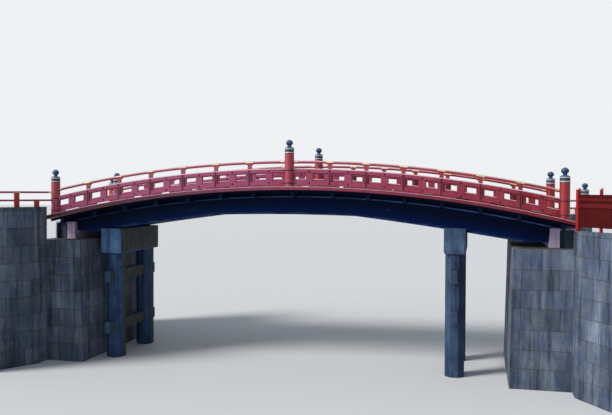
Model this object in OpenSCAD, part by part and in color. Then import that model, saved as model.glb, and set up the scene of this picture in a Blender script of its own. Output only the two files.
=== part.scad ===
// Arched timber footbridge with boarded balustrades, onion finials, joined girders and stone piers.
// X runs along the bridge, Y across it and Z up from the foot of the piers, in millimetres.
// Heights named _h are measured along the arch's radius from the underside of the deck boards.

/* [Arch] */
// Length of the deck along the bridge
deck_len = 28000; // [27800:100:29000]
// Width over the deck's edge boards
deck_w = 7520; // [7500:10:8200]
// Radius of the underside of the deck boards
deck_r = 59270; // [52000:10:80000]
// Height of that underside over the pier feet at mid-span
deck_z = 9410; // [8800:10:12000]
// Thickness of the deck boards
board_t = 90; // [50:1:120]
// Height of the edge boards
edge_h = 170; // [140:1:200]
// Thickness of the edge boards
edge_t = 60; // [30:1:90]

/* [Uprights] */
// Distance of the end posts from the deck's ends
end_post_inset = 700; // [600:10:1000]
// Distance of the first strut from the middle post
first_strut_x = 2108; // [1900:1:2300]
// Distance of the last strut from the end post
last_strut_gap = 1997; // [1900:1:2100]
// Struts between the middle post and an end post
struts_per_half = 6; // [5:1:6]

/* [Balustrade] */
// Distance of each balustrade's middle plane from the deck's side
rail_inset = 251; // [240:1:280]
// Width of the rails
rail_w = 220; // [180:2:240]
// Height where the base rail starts
base_h = 245; // [220:1:270]
// Depth of the base rail
base_t = 190; // [150:1:220]
// Height where the middle rail starts
mid_h = 880; // [860:1:920]
// Depth of the middle rail
mid_t = 205; // [150:1:220]
// Chamfer along the middle rail's upper edges
mid_chamfer = 42; // [20:1:60]
// Height of the top rail's axis
top_h = 1410; // [1370:1:1440]
// Diameter of the top rail
top_d = 150; // [120:1:170]
// Thickness of the boarding between base rail and middle rail
panel_t = 80; // [50:1:110]
// Width of boarding left between a window and a strut
window_side = 124.5; // [80:0.5:180]
// Width of boarding left between a window and the middle block
window_frame = 12; // [8:1:30]
// Height of the windows' lower edge
window_h0 = 555; // [520:1:580]
// Height of the windows' upper edge
window_h1 = 825; // [780:1:840]
// Width of the block between the two windows of a bay
block_w = 350; // [280:1:380]
// Thickness of that block
block_t = 150; // [120:1:170]
// Clear length of the drain slot under the base rail
slot_len = 900; // [700:10:1000]
// How far the blocks beside the slots stand back from the base rail's faces
slot_inset = 20; // [10:1:30]

/* [Struts] */
// Width of a strut between base rail and middle rail
strut_low_w = 140; // [110:1:180]
// Width of a strut's neck above the middle rail
neck_w = 200; // [160:1:230]
// Depth of that neck across the rail
neck_t = 120; // [90:1:150]
// Width of the bracket under the top rail
bracket_w = 350; // [300:1:380]
// Height of the bracket's flare
bracket_flare = 85; // [60:1:100]

/* [Posts] */
// Diameter of the main posts
post_d = 480; // [440:2:500]
// Height of the main posts' red tops
post_h = 1825; // [1780:1:1900]
// Height of the finials
finial_t = 720; // [700:1:800]
// Height of a finial's collar
collar_t = 275; // [272:1:300]
// How far the collar stands back from the post's face
collar_inset = 5; // [2:1:10]
// Height of the rounded shoulder over the collar
shoulder_t = 75; // [50:1:130]
// Diameter of the finial's neck
neck_d = 205; // [190:1:230]
// Height of the lip round the top of the neck
lip_t = 16; // [10:1:24]
// How far that lip stands out of the neck
lip_out = 12; // [6:1:20]
// Height where the onion bulb starts
bulb_z = 450; // [430:1:470]
// Diameter of the onion bulb
bulb_d = 365; // [330:2:400]

/* [Metalwork] */
// Length of a gilt sleeve on the top rail
sleeve_len = 400; // [360:1:480]
// Clear distance from a main post to the sleeve beside it
sleeve_gap = 25; // [20:1:40]
// Thickness of the sleeves
sleeve_t = 5; // [3:0.5:8]
// Height of a gilt ring round a finial's collar
ring_w = 36; // [24:1:44]
// Thickness of the straight part of those rings
ring_t = 6; // [4:1:12]
// Height of the lower ring over the post's top
low_ring_z = 42; // [20:1:90]
// Height of the upper ring over the post's top
high_ring_z = 232; // [150:1:235]
// Width of the iron straps
strap_w = 90; // [60:1:110]
// Thickness of the iron straps
strap_t = 6; // [4:0.5:10]
// Diameter of the iron studs
stud_d = 95; // [70:1:110]
// How far a stud stands out
stud_t = 30; // [20:1:40]
// Height of the lower studs' middle over the base rail's underside
low_stud = 114; // [80:1:140]
// Height of the upper studs' middle over the middle rail's underside
high_stud = 74; // [60:1:90]
// Height of the straps' lower end over the base rail's underside
strap_start = 30; // [10:1:60]
// Height of the iron bands round the posts
band_w = 55; // [40:1:70]
// Reach of the iron bands along the rails
band_reach = 170; // [120:1:220]

/* [Floor timbers] */
// Depth of the joists under the deck
joist_t = 125; // [90:1:150]
// Width of the joists
joist_w = 150; // [110:1:180]
// Distance of the outer joists' middle from the cross-beams' ends
joist_inset = 90; // [80:1:200]
// Joist lines across the deck
joist_lines = 5; // [3:2:7]
// Depth of the cross-beams
cross_t = 235; // [200:1:260]
// Width of the cross-beams
cross_w = 200; // [160:1:240]
// How far the cross-beams' ends stand back from the deck's sides
cross_inset = 850; // [600:10:950]
// Depth to which the cross-beams are let into the girders
cog_t = 30; // [15:1:50]
// Thickness of the closing boards between the cross-beams
closing_t = 50; // [30:1:80]

/* [Girders] */
// Distance of the outer girders' middle from the cross-beams' ends
girder_inset = 900; // [850:10:1000]
// Width of a girder
girder_w = 450; // [380:2:500]
// Distance of the girders' middle from mid-span, to the left
girder_shift = 580; // [0:10:600]
// Depth of the middle girder under mid-span's girder top
middle_depth = 955; // [900:5:1000]
// Radius of the middle girder's underside
middle_bottom_r = 110000; // [100000:1000:160000]
// Distance of that underside's ends from the girders' middle
haunch_x = 3800; // [3500:10:4200]
// Distance of the joints from the girders' middle
joint_x = 5000; // [4900:10:5200]
// Slope of the underside beyond the middle girder's
cantilever_slope = 0.119; // [0.11:0.001:0.125]
// Radius of that underside
cantilever_bottom_r = 174000; // [150000:1000:200000]
// Length of the half-lap between girders
lap_len = 600; // [400:10:800]
// Depth of the half-lap's upper half
lap_t = 480; // [420:5:520]
// Distance from the end posts to where the cantilevers' underside turns up to the bank
turn_inset = 1460; // [1200:10:1700]
// Slope of that upturned underside
turn_slope = 0.12; // [0.1:0.001:0.15]
// How far the girders run on past the end posts
girder_past = 300; // [200:10:400]

/* [Piers] */
// Distance of the left pier from the left end posts
left_pier_inset = 2750; // [2650:10:2900]
// Distance of the right pier from the right end posts
right_pier_inset = 5055; // [4900:5:5200]
// Length of the left pier's cap along the bridge
left_cap_w = 1220; // [1100:10:1300]
// Length of the right pier's cap along the bridge
right_cap_w = 1090; // [1000:10:1200]
// Depth of the left cap
left_cap_t = 1370; // [1300:10:1400]
// Depth of the right cap
right_cap_t = 1300; // [1250:10:1350]
// How far the girders sink into the left cap
left_seat = 10; // [0:5:60]
// How far the girders sink into the right cap
right_seat = 130; // [40:5:150]
// How far the caps stand out past the outer girders' middle
cap_overhang = 400; // [360:10:480]
// Chamfer round the caps' lower edges
cap_chamfer = 60; // [20:5:90]
// Width of an eight-sided column across its flats
column_w = 960; // [880:10:1000]
// Distance of the columns from the outer girders' middle, towards the bridge's middle line
column_inset = 180; // [140:10:300]
// Width of the tie beams
tie_w = 340; // [280:10:400]
// Depth of the tie beams
tie_t = 620; // [560:10:660]
// How far the tie beams stand out of the columns
tie_nose = 550; // [400:10:600]
// Height of the left pier's upper tie beam over the pier feet
left_high_tie_z = 4570; // [4300:10:4800]
// Height of the left pier's lower tie beam
left_low_tie_z = 1740; // [1500:10:2000]
// Height of the right pier's upper tie beam
right_high_tie_z = 5120; // [4900:10:5300]
// Height of the right pier's lower tie beam
right_low_tie_z = 3110; // [2900:10:3300]

/* [Abutments] */
// Distance of the left abutment's front, at its top, from the end posts
left_front_inset = 1600; // [1500:10:1650]
// Distance of the right abutment's front, at its top, from the end posts
right_front_inset = 2300; // [1700:10:2350]
// How far the abutments run on past the end posts
abutment_past = 900; // [800:10:1100]
// Batter of the abutments' front, from top to foot
batter = 160; // [80:10:200]
// Distance of the bearing blocks' front, at its foot, from the end posts
block_front = 600; // [500:10:700]
// Batter of that front
block_batter = 60; // [0:5:100]
// How far the bearing blocks run on past the end posts
block_past = 640; // [500:10:680]
// How far the bearing blocks stand out past the outer girders' middle
bearing_overhang = 500; // [440:10:600]
// Height of the bearing blocks
bearing_t = 940; // [900:5:980]
// Height of their tops over the girders' tops at the end posts
block_rise = 20; // [0:5:40]
// Thickness of the slab over a block's side recess
slab_t = 70; // [50:1:100]
// Depth of that recess
recess_t = 190; // [100:5:200]
// Length of the recess along the bridge
recess_len = 740; // [500:10:800]

/* [Wings] */
// Turn of the wing railings away from the bridge's axis
wing_turn = 58; // [50:1:65]
// Length of a wing from end post to wing post
wing_len = 4360; // [4000:10:4800]
// Height of the left wing walls over the deck at the end posts
left_wing_rise = 459; // [350:1:600]
// Height of the far right wing wall over the deck at the end posts
right_wing_rise = 49; // [0:1:200]
// Thickness of the wing walls
wing_wall_t = 620; // [560:10:700]
// How far a wing wall runs on past its post
wing_wall_past = 400; // [350:10:500]
// How far past the end posts the wing walls start
wing_start = 380; // [300:10:400]
// Height of the wing posts' red tops over the wall
wing_post_t = 1130; // [1050:10:1200]
// Height of the wing's middle rail over the wall
wing_mid_z = 310; // [280:5:340]
// Depth of the wing's middle rail
wing_mid_t = 95; // [80:1:120]
// Width of the wing's middle rail
wing_mid_w = 130; // [110:2:160]
// Height of the wing top rail's axis over the wall
wing_top_z = 795; // [760:5:830]
// Diameter of the wing's top rail
wing_top_d = 110; // [90:2:130]
// Width of the wing's struts and blocks
wing_strut_w = 270; // [220:5:300]
// Depth of the wing's struts and blocks
wing_strut_t = 100; // [80:2:120]

/* [Fence on the near right wing] */
// Height of the deck at the end posts over the wall under the fence
fence_wall_drop = 431; // [300:1:600]
// Place of the first fence post along the wing
fence_x = 940; // [920:10:1000]
// Distance between fence posts
fence_gap = 1410; // [1300:10:1500]
// Bays of the fence
fence_bays = 2; // [1:1:6]
// Width of the first fence post
fence_end_w = 150; // [120:5:170]
// Width of the other fence posts, behind the boarding
fence_post_w = 105; // [80:5:140]
// Height of the fence posts without their caps
fence_post_t = 1890; // [1800:10:2000]
// Height of the posts' caps
fence_cap_t = 80; // [40:5:90]
// How far the caps stand out round the posts
fence_cap_out = 10; // [5:5:30]
// Height over the wall where the boarding starts
board_z = 190; // [100:10:260]
// Height over the wall of the boarding's top
board_top_z = 1660; // [1600:10:1750]
// Thickness of the boarding
boarding_t = 40; // [24:2:60]
// Height over the wall where the lower of the rails on the boarding starts
low_bar_z = 1070; // [1000:10:1100]
// Depth of that rail
low_bar_t = 170; // [120:5:200]
// Height over the wall where the upper rail starts
high_bar_z = 1370; // [1330:10:1400]
// Depth of the upper rail
high_bar_t = 120; // [80:5:160]
// Thickness of both rails
bar_w = 45; // [30:1:60]

/* [Hidden] */
// Gap between faces that seat on each other
fit = 0.5;
// Sides of the arch's great circles, of rails and posts, and of small round parts
arc_fn = 1440;
round_fn = 64;
small_fn = 32;
// Reach of the cutting shapes past what they cut
past = 2000;
// How far rails are drawn into a post before they are cut to its face
run_in = 5;
// How far under the top rail's axis the struts' necks are drawn before they are cut to the sleeve
neck_drop = 10;
// Share of the bulb's curve that its neck cuts off, and share left straight at its tip
bulb_foot = 0.16;
bulb_tip = 0.03;
vermilion = [0.72, 0.16, 0.14];
lacquer = [0.07, 0.08, 0.13];
gilt = [0.80, 0.62, 0.25];
bronze = [0.13, 0.20, 0.27];
iron = [0.08, 0.07, 0.08];
granite = [0.47, 0.52, 0.56];
pink_granite = [0.62, 0.55, 0.58];
sleeve_r = top_d / 2 + fit + sleeve_t;
post_r = post_d / 2;
collar_r = post_r - collar_inset;
rail_y = deck_w / 2 - rail_inset;
cross_len = deck_w - 2 * cross_inset;
joist_y = cross_len / 2 - joist_inset;
girder_y = cross_len / 2 - girder_inset;
cap_len = 2 * (girder_y + cap_overhang);
column_y = girder_y - column_inset;
bearing_len = 2 * (girder_y + bearing_overhang);
end_post_x = deck_len / 2 - end_post_inset;
strut_gap = (end_post_x - first_strut_x - last_strut_gap) / (struts_per_half - 1);
window_w = (strut_gap - strut_low_w - block_w) / 2 - window_side;
left_pier_x = left_pier_inset - end_post_x;
right_pier_x = end_post_x - right_pier_inset;
turn_x = end_post_x - turn_inset;
girder_end_x = end_post_x + girder_past;
wing_wall_x = end_post_x + wing_start;
half_xs = [for (i = [0:struts_per_half - 1]) first_strut_x + i * strut_gap];
strut_xs = concat([for (i = [len(half_xs) - 1:-1:0]) -half_xs[i]], half_xs);
post_xs = [-end_post_x, 0, end_post_x];
stations = concat([-end_post_x], [for (x = strut_xs) if (x < 0) x], [0],
    [for (x = strut_xs) if (x > 0) x], [end_post_x]);
bays = len(stations) - 1;
deck_cuts = concat([-deck_len / 2], [for (i = [1:bays - 1]) stations[i]], [deck_len / 2]);
splices = concat([-deck_len / 2], [for (i = [1:2:bays - 1]) stations[i]], [deck_len / 2]);
cross_h = -joist_t - cross_t;
girder_h = cross_h + cog_t;
cog_w = cross_w + 2 * fit;
// End and side of the wings that carry rails; the near right one carries a fence
railed = [[-1, -1], [-1, 1], [1, 1]];

// Height over the pier feet of a point on the arch
function arch_z(x, h) = deck_z - deck_r + sqrt(pow(deck_r + h, 2) - x * x);
// Undersides of the girders, at a distance from the girders' middle
function middle_z(s) = deck_z + girder_h - middle_depth
    - middle_bottom_r + sqrt(pow(middle_bottom_r, 2) - s * s);
function cantilever_z(s) = let (u = s - haunch_x)
    middle_z(haunch_x) - cantilever_slope * u - u * u / (2 * cantilever_bottom_r);
// Tops of the caps, and the heights of each pier's tie beams
function left_cap_z() = cantilever_z(-left_pier_x - girder_shift) + left_seat;
function right_cap_z() = cantilever_z(right_pier_x + girder_shift) + right_seat;
function left_ties() = [left_high_tie_z, left_low_tie_z];
function right_ties() = [right_high_tie_z, right_low_tie_z];
// Height of the abutments under the bearing blocks
function abutment_z() = arch_z(end_post_x, girder_h) + block_rise - bearing_t;
// Height of a wing's wall, and its length from the end post
function wing_z(end, side) = arch_z(end_post_x, board_t)
    + (end < 0 ? left_wing_rise : side > 0 ? right_wing_rise : -fence_wall_drop);
function wall_len(end, side) = wing_wall_past
    + (end > 0 && side < 0 ? fence_x + fence_bays * fence_gap : wing_len);
// Distance from a post's middle to where a rail of a given width is cut short of it
function bite(w) = sqrt(post_r * post_r - w * w / 4) - run_in;
function is_post(i) = i == 0 || i == bays || i == bays / 2;
// Ends of a rail's piece in bay i
function bay_x0(i, w) = stations[i] + (is_post(i) ? bite(w) : fit / 2);
function bay_x1(i, w) = stations[i + 1] - (is_post(i + 1) ? bite(w) : fit / 2);

// Piece of the arch between two heights and two places along the bridge, with upright ends
module band(h0, h1, x0, x1, y, w) {
    a0 = acos(x1 / (deck_r + (x1 > 0 ? h0 : h1)));
    a1 = acos(x0 / (deck_r + (x0 > 0 ? h1 : h0)));
    intersection() {
        translate([0, y, deck_z - deck_r]) rotate([90, 0, 0]) rotate([0, 0, a0])
            rotate_extrude(angle = a1 - a0, $fn = arc_fn)
                translate([deck_r + h0, -w / 2]) square([h1 - h0, w]);
        translate([x0, y - w, 0]) cube([x1 - x0, 2 * w, 2 * deck_z]);
    }
}

// Child profile, x outwards and y across, swept along the arch at a height
module sweep(h, x0, x1, y) {
    a0 = acos(x1 / (deck_r + h));
    a1 = acos(x0 / (deck_r + h));
    translate([0, y, deck_z - deck_r]) rotate([90, 0, 0]) rotate([0, 0, a0])
        rotate_extrude(angle = a1 - a0, $fn = arc_fn) translate([deck_r + h, 0]) children();
}

// Room for the main posts of a side, above a height on the arch
module post_room(side, h, r) {
    for (x = post_xs) translate([x, side * rail_y, arch_z(x, h)])
        cylinder(r = r, h = past + post_h, $fn = round_fn);
}

module deck() color([0.55, 0.45, 0.36]) for (i = [0:bays - 1])
    band(0, board_t, deck_cuts[i] + fit / 2, deck_cuts[i + 1] - fit / 2, 0, deck_w - 2 * edge_t - 2 * fit);

module edge_boards(side) color(vermilion) for (i = [0:len(splices) - 2])
    band(0, edge_h, splices[i] + fit / 2, splices[i + 1] - fit / 2, side * (deck_w - edge_t) / 2, edge_t);

module joists() color(lacquer) for (j = [0:joist_lines - 1], i = [0:len(splices) - 2])
    band(-joist_t + fit, -fit, splices[i] + fit / 2, splices[i + 1] - fit / 2,
        -joist_y + j * 2 * joist_y / (joist_lines - 1), joist_w);

module cross_beams() color(lacquer) for (x = stations)
    band(cross_h + fit, -joist_t, x - cross_w / 2, x + cross_w / 2, 0, cross_len);

// Boards that stand on the outer girders and close the bays between the cross-beams
module closing_boards() color(lacquer) for (i = [0:bays - 1], side = [-1, 1])
    band(girder_h + fit, -fit, stations[i] + cross_w / 2 + fit, stations[i + 1] - cross_w / 2 - fit,
        side * girder_y, closing_t);

// Height of a girder's top, which is lower in the notches for the cross-beams
function cog_z(x) = let (notches = [for (s = stations) if (abs(x - s) < cog_w / 2) s])
    arch_z(x, len(notches) > 0 ? cross_h : girder_h);

// Upper outline of a girder from x0 to x1
function cog_points(x0, x1) = concat([[x0, cog_z(x0)]],
    [for (x = stations) each let (a = x - cog_w / 2, b = x + cog_w / 2, c = x + strut_gap / 2)
        [if (a > x0 && a < x1) each [[a, arch_z(a, girder_h)], [a, arch_z(a, cross_h)]],
            if (b > x0 && b < x1) each [[b, arch_z(b, cross_h)], [b, arch_z(b, girder_h)]],
            if (c > x0 && c < x1) [c, arch_z(c, girder_h)]]],
    [[x1, cog_z(x1)]]);

// The middle girder: full depth between the joints and an upper lap past each
function middle_points() = let (x0 = -joint_x - girder_shift, x1 = joint_x - girder_shift,
        under_h = girder_h - lap_t) concat(
    cog_points(x0 - lap_len, x1 + lap_len),
    [[x1 + lap_len, arch_z(x1 + lap_len, under_h)], [x1, arch_z(x1, under_h)], [x1, cantilever_z(joint_x)]],
    [for (i = [4:-1:-4]) let (s = haunch_x * i / 4) [s - girder_shift, middle_z(s)]],
    [[x0, cantilever_z(joint_x)], [x0, arch_z(x0, under_h)], [x0 - lap_len, arch_z(x0 - lap_len, under_h)]]);

// A cantilever girder whose joint lies at joint_x + shift: a lower lap at its tip, and an underside
// that turns up towards the bank
function cantilever_points(grow, shift) = let (tip_x = joint_x + shift + fit, step_x = tip_x + lap_len,
        lap_h = girder_h - lap_t - fit, end_x = girder_end_x + grow) concat(
    [[tip_x, arch_z(tip_x, lap_h)], [step_x, arch_z(step_x, lap_h)]],
    grow > 0 ? [[step_x, deck_z + past], [end_x, deck_z + past]] : cog_points(step_x, end_x),
    [[end_x, cantilever_z(turn_x - shift) + (end_x - turn_x) * turn_slope - grow]],
    [for (i = [10:-1:0]) let (x = tip_x + (turn_x - tip_x) * i / 10) [x, cantilever_z(x - shift) - grow]]);

// An outline drawn along the bridge and upwards, made into the three girder lines
module girder_lines(points, w) for (y = [-girder_y, 0, girder_y])
    translate([0, y, 0]) rotate([90, 0, 0]) linear_extrude(w, center = true) polygon(points);

module middle_girders() color(lacquer) girder_lines(middle_points(), girder_w);
module right_girders() color(lacquer) girder_lines(cantilever_points(0, -girder_shift), girder_w);
module left_girders() color(lacquer) mirror([1, 0, 0])
    girder_lines(cantilever_points(0, girder_shift), girder_w);

// Room for the girders of an end, drawn at +X
module girder_room(shift) girder_lines(cantilever_points(fit, shift), girder_w + 2 * fit);

module base_rails(side) color(vermilion) {
    difference() {
        for (i = [0:bays - 1]) band(base_h, base_h + base_t, bay_x0(i, rail_w), bay_x1(i, rail_w),
            side * rail_y, rail_w);
        post_room(side, 0, post_r + fit);
    }
    difference() {
        for (i = [0:bays]) band(board_t + fit, base_h - fit, slot_end(i - 1, slot_len / 2),
            slot_end(i, -slot_len / 2), side * rail_y, rail_w - 2 * slot_inset);
        for (x = post_xs) intersection() {
            translate([x, side * rail_y, 0]) cylinder(r = post_r + fit, h = 2 * deck_z, $fn = round_fn);
            band(edge_h, base_h + base_t, x - 2 * post_r, x + 2 * post_r, side * rail_y, 2 * post_d);
        }
    }
}

// Ends of the drain slot in a bay, and of the blocks at the end posts
function slot_end(i, offset) = i < 0 ? -end_post_x - post_r : i >= bays ? end_post_x + post_r
    : (stations[i] + stations[i + 1]) / 2 + offset;

module panels(side) color(vermilion) difference() {
    for (i = [0:bays - 1]) panel(side, i);
    post_room(side, 0, post_r + fit);
}

// Boarding of a bay: a board with a window on each side of the middle block
module panel(side, i) {
    x = (stations[i] + stations[i + 1]) / 2;
    x0 = stations[i] + (is_post(i) ? bite(panel_t) : strut_low_w / 2 + fit);
    x1 = stations[i + 1] - (is_post(i + 1) ? bite(panel_t) : strut_low_w / 2 + fit);
    h0 = base_h + base_t + fit;
    h1 = mid_h - fit;
    half = block_w / 2 + fit;
    difference() {
        band(h0, h1, x0, x - half, side * rail_y, panel_t);
        band(window_h0, window_h1, x - half - window_w, x - half - window_frame, side * rail_y, 2 * panel_t);
    }
    difference() {
        band(h0, h1, x + half, x1, side * rail_y, panel_t);
        band(window_h0, window_h1, x + half + window_frame, x + half + window_w, side * rail_y, 2 * panel_t);
    }
    band(h0, h1, x - block_w / 2, x + block_w / 2, side * rail_y, block_t);
}

module mid_rails(side) color(vermilion) difference() {
    for (i = [0:bays - 1]) sweep(mid_h, bay_x0(i, rail_w), bay_x1(i, rail_w), side * rail_y)
        polygon([[0, -rail_w / 2], [0, rail_w / 2], [mid_t - mid_chamfer, rail_w / 2],
            [mid_t, rail_w / 2 - mid_chamfer], [mid_t, mid_chamfer - rail_w / 2],
            [mid_t - mid_chamfer, -rail_w / 2]]);
    post_room(side, 0, post_r + fit);
}

module struts(side) color(vermilion) for (x = strut_xs) {
    band(base_h + base_t + fit, mid_h - fit, x - strut_low_w / 2, x + strut_low_w / 2,
        side * rail_y, rail_w);
    difference() {
        translate([x, side * rail_y, arch_z(x, top_h)]) rotate([90, 0, 0])
            linear_extrude(neck_t, center = true) neck_outline();
        translate([x, side * rail_y, arch_z(x, top_h)]) rotate([0, 90 + asin(x / (deck_r + top_h)), 0])
            cylinder(r = sleeve_r + fit, h = 2 * bracket_w, center = true, $fn = round_fn);
        band(0, mid_h + mid_t + fit, x - bracket_w, x + bracket_w, side * rail_y, rail_w);
    }
}

// Neck under the top rail's axis, flaring in two curves to a bracket
module neck_outline() {
    flare_x = bracket_w / 2;
    flare_z = sleeve_r + bracket_flare;
    translate([-neck_w / 2, mid_h - top_h]) square([neck_w, top_h - mid_h - neck_drop]);
    difference() {
        translate([-flare_x, -flare_z]) square([bracket_w, flare_z - neck_drop]);
        for (s = [-1, 1]) translate([s * flare_x, -flare_z])
            circle(r = (bracket_w - neck_w) / 2, $fn = round_fn);
    }
}

module top_rails(side) color(vermilion) difference() {
    for (i = [0:bays - 1]) sweep(top_h, bay_x0(i, top_d), bay_x1(i, top_d), side * rail_y)
        circle(r = top_d / 2, $fn = small_fn);
    post_room(side, 0, post_r + fit);
}

module sleeve_profile(r) difference() {
    circle(r = r + fit + sleeve_t, $fn = small_fn);
    circle(r = r + fit, $fn = small_fn);
}

module sleeves(side) color(gilt) {
    for (x = strut_xs) sweep(top_h, x - sleeve_len / 2, x + sleeve_len / 2, side * rail_y)
        sleeve_profile(top_d / 2);
    reach = post_r + sleeve_len / 2;
    start = post_r + sleeve_gap;
    for (x = post_xs, s = [-1, 1]) if (abs(x + s) < end_post_x)
        sweep(top_h, s > 0 ? x + start : x - reach, s > 0 ? x + reach : x - start, side * rail_y)
            sleeve_profile(top_d / 2);
    for (w = railed) if (w[1] == side) at_wing(w[0], side) translate([wing_len / 2, 0, wing_top_z])
        rotate([0, 90, 0]) linear_extrude(sleeve_len, center = true) sleeve_profile(wing_top_d / 2);
}

module ironwork(side) color(iron) {
    for (x = strut_xs, face = [-1, 1]) band(base_h + strap_start, mid_h + mid_t - mid_chamfer,
        x - strap_w / 2, x + strap_w / 2, side * rail_y + face * (rail_w / 2 + fit + strap_t / 2), strap_t);
    for (i = [0:bays - 1], face = [-1, 1], h = [base_h + low_stud, mid_h + high_stud])
        stud(side, (stations[i] + stations[i + 1]) / 2, h, face);
    for (x = post_xs, h = [base_h + base_t / 2, mid_h + mid_t / 2]) post_band(side, x, h);
}

// Iron band round a post, with two arms along the faces of each rail that meets it
module post_band(side, x, h) {
    start = sqrt(pow(post_r + strap_t + 2 * fit, 2) - rail_w * rail_w / 4);
    reach = post_r + band_reach;
    for (s = [-1, 1]) if (abs(x + s) < end_post_x) for (face = [-1, 1])
        band(h - band_w / 2, h + band_w / 2, s > 0 ? x + start : x - reach, s > 0 ? x + reach : x - start,
            side * rail_y + face * (rail_w / 2 + fit + strap_t / 2), strap_t);
    difference() {
        translate([x, side * rail_y, arch_z(x, h) - band_w / 2])
            cylinder(r = post_r + fit + strap_t, h = band_w, $fn = round_fn);
        post_room(side, 0, post_r + fit);
        for (s = [-1, 1]) if (abs(x + s) < end_post_x)
            translate([x + s * post_r, side * rail_y, arch_z(x, h)])
                cube([2 * post_r, rail_w + 2 * fit, 2 * band_w], center = true);
    }
}

// Domed stud on a face of a rail
module stud(side, x, h, face) intersection() {
    dome_r = (stud_d * stud_d / 4 + stud_t * stud_t) / (2 * stud_t);
    y = side * rail_y + face * (rail_w / 2 + fit);
    translate([x, y + face * (stud_t - dome_r), arch_z(x, h)]) sphere(r = dome_r, $fn = small_fn);
    translate([x - stud_d, face > 0 ? y : y - stud_d, arch_z(x, h) - stud_d])
        cube([2 * stud_d, stud_d, 2 * stud_d]);
}

module posts(side) color(vermilion) for (x = post_xs) difference() {
    z = arch_z(abs(x) + post_r, 0);
    translate([x, side * rail_y, z])
        cylinder(r = post_r, h = arch_z(x, post_h) - z, $fn = round_fn);
    band(-post_r, edge_h + fit, x - post_r - 2 * run_in, x + post_r + 2 * run_in, side * rail_y, 2 * post_d);
}

// Outline of the onion bulb, from its foot to the start of its tip
function bulb_points(n) = [for (i = [0:n]) let (t = i / n * (1 - bulb_tip))
    [bulb_d / 2 * sqrt(sin(180 * (bulb_foot + (1 - bulb_foot) * t))), bulb_z + t * (finial_t - bulb_z)]];

// Onion finial: collar, rounded shoulder, neck with a lip, and bulb
module finial_outline() {
    neck_r = neck_d / 2;
    lip_z = bulb_z - lip_t;
    polygon(concat([[0, 0], [collar_r, 0], [collar_r, collar_t]],
        [for (a = [15:15:90]) [neck_r + (collar_r - neck_r) * cos(a), collar_t + shoulder_t * sin(a)]],
        [[neck_r, lip_z], [neck_r + lip_out, lip_z], [neck_r + lip_out, bulb_z]],
        bulb_points(14), [[0, finial_t]]));
}

module finial(x, y, z) translate([x, y, z + fit]) rotate_extrude($fn = round_fn) finial_outline();

module finials(side) color(bronze) for (x = post_xs)
    finial(x, side * rail_y, arch_z(x, post_h));

module wing_finials() color(bronze) for (w = railed) at_wing(w[0], w[1]) finial(wing_len, 0, wing_post_t);

module ring_pair() for (z = [low_ring_z, high_ring_z]) translate([0, 0, z])
    rotate_extrude($fn = round_fn) translate([collar_r + fit, 0]) {
        square([ring_t, ring_w]);
        intersection() {
            translate([ring_t, ring_w / 2]) circle(r = ring_w / 2, $fn = small_fn);
            translate([ring_t - fit, 0]) square(ring_w);
        }
    }

module finial_rings() color(gilt) {
    for (side = [-1, 1], x = post_xs) translate([x, side * rail_y, arch_z(x, post_h) + fit]) ring_pair();
    for (w = railed) at_wing(w[0], w[1]) translate([wing_len, 0, wing_post_t + fit]) ring_pair();
}

// Cap stone with seats for the three girders
module pier_cap(x, w, t, z) color(granite) difference() {
    translate([x, 0, z - t / 2]) rotate([90, 0, 0]) linear_extrude(cap_len, center = true)
        polygon([[-w / 2, t / 2], [w / 2, t / 2], [w / 2, cap_chamfer - t / 2],
            [w / 2 - cap_chamfer, -t / 2], [cap_chamfer - w / 2, -t / 2], [-w / 2, cap_chamfer - t / 2]]);
    mirror([x < 0 ? 1 : 0, 0, 0]) girder_room(x < 0 ? girder_shift : -girder_shift);
}

module left_pier_cap() pier_cap(left_pier_x, left_cap_w, left_cap_t, left_cap_z());
module right_pier_cap() pier_cap(right_pier_x, right_cap_w, right_cap_t, right_cap_z());

// Two eight-sided columns with mortises for the tie beams
module pier_columns(x, top, ties) color(granite) for (s = [-1, 1]) difference() {
    translate([x, s * column_y, 0]) rotate([0, 0, 22.5])
        cylinder(r = column_w / 2 / cos(22.5), h = top - fit, $fn = 8);
    for (z = ties) translate([x - tie_w / 2 - fit, s * column_y - column_w, z - tie_t / 2 - fit])
        cube([tie_w + 2 * fit, 2 * column_w, tie_t + 2 * fit]);
}

module left_pier_columns() pier_columns(left_pier_x, left_cap_z() - left_cap_t, left_ties());
module right_pier_columns() pier_columns(right_pier_x, right_cap_z() - right_cap_t, right_ties());

module pier_ties() color(granite) {
    half_len = column_y + column_w / 2 + tie_nose;
    for (z = left_ties()) translate([left_pier_x - tie_w / 2, -half_len, z - tie_t / 2])
        cube([tie_w, 2 * half_len, tie_t]);
    for (z = right_ties()) translate([right_pier_x - tie_w / 2, -half_len, z - tie_t / 2])
        cube([tie_w, 2 * half_len, tie_t]);
}

// Battered masonry wall under a bearing block, for the end at +X
module abutment(front_x) color(granite) translate([0, deck_w / 2, 0]) rotate([90, 0, 0])
    linear_extrude(deck_w) polygon([[front_x, abutment_z()], [front_x - batter, 0],
        [end_post_x + abutment_past, 0], [end_post_x + abutment_past, abutment_z()]]);

module left_abutment() mirror([1, 0, 0]) abutment(end_post_x - left_front_inset);
module right_abutment() abutment(end_post_x - right_front_inset);

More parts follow.
